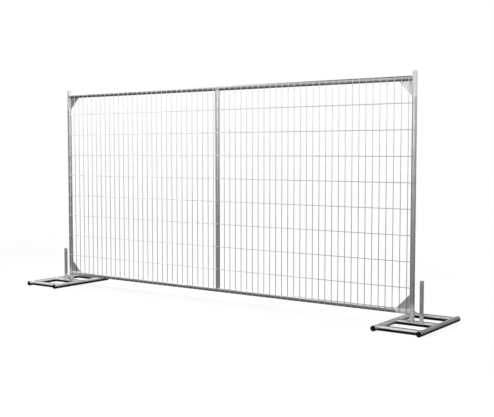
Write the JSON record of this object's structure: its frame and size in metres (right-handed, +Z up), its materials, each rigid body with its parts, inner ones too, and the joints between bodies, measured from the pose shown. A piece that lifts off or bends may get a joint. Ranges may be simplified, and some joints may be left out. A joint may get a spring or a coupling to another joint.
{
  "type": "welded mesh fence panel",
  "caption": "Welded mesh fence panel of galvanised tube with corner gussets, standing on loose ladder-shaped tubular feet with upright spigots that also take the next panel.",
  "frame": {"origin": "on the ground below the middle of the panel, halfway between the two feet", "axes": "+X along the panel to the right as seen from the mesh side, +Y from the mesh side to the back, +Z up"},
  "size_m": [4.0938, 0.707, 1.8763],
  "materials": {
    "frame_tube": "galvanised",
    "mesh_wire": "galvanised",
    "gusset_plate": "galvanised",
    "foot_tube": "galvanised",
    "spigot_bar": "galvanised",
    "end_plug": "moulded"
  },
  "bodies": {
    "panel": {"left_post": "frame_tube", "right_post": "frame_tube", "centre_post": "frame_tube", "top_rail": "frame_tube", "bottom_rail": "frame_tube", "top_left_gusset": "gusset_plate", "top_right_gusset": "gusset_plate", "bottom_left_gusset": "gusset_plate", "bottom_right_gusset": "gusset_plate", "vertical_wires": "mesh_wire", "horizontal_wires": "mesh_wire"},
    "left_spigot": {"left_foot_post_spigot": "spigot_bar"},
    "left_foot": {"left_foot_inner_skid": "foot_tube", "left_foot_outer_skid": "foot_tube", "left_foot_front_crossbar": "foot_tube", "left_foot_middle_crossbar": "foot_tube", "left_foot_rear_crossbar": "foot_tube", "left_foot_spare_spigot": "spigot_bar", "left_foot_end_plugs": "end_plug"},
    "right_spigot": {"right_foot_post_spigot": "spigot_bar"},
    "right_foot": {"right_foot_inner_skid": "foot_tube", "right_foot_outer_skid": "foot_tube", "right_foot_front_crossbar": "foot_tube", "right_foot_middle_crossbar": "foot_tube", "right_foot_rear_crossbar": "foot_tube", "right_foot_spare_spigot": "spigot_bar", "right_foot_end_plugs": "end_plug"}
  },
  "joints": [
    {"name": "panel_swing", "type": "hinge", "parent": "left_foot", "child": "left_spigot", "pos_m": [-1.811, 0, 0.021], "axis": [0, 0, 1], "range_deg": [-143, 143]},
    {"name": "panel_lift", "type": "slide", "parent": "left_spigot", "child": "panel", "axis": [0, 0, 1], "range_m": [0, 0.31]},
    {"name": "right_foot_stay", "type": "slide", "parent": "panel", "child": "right_spigot", "axis": [0, 0, -1], "range_m": [0, 0.31]},
    {"name": "right_foot_turn", "type": "hinge", "parent": "right_spigot", "child": "right_foot", "pos_m": [1.811, 0, 0.021], "axis": [0, 0, 1], "range_deg": [-143, 143]}
  ],
  "couplings": [
    {"joint": "right_foot_stay", "follows": "panel_lift", "ratio": 1}
  ]
}
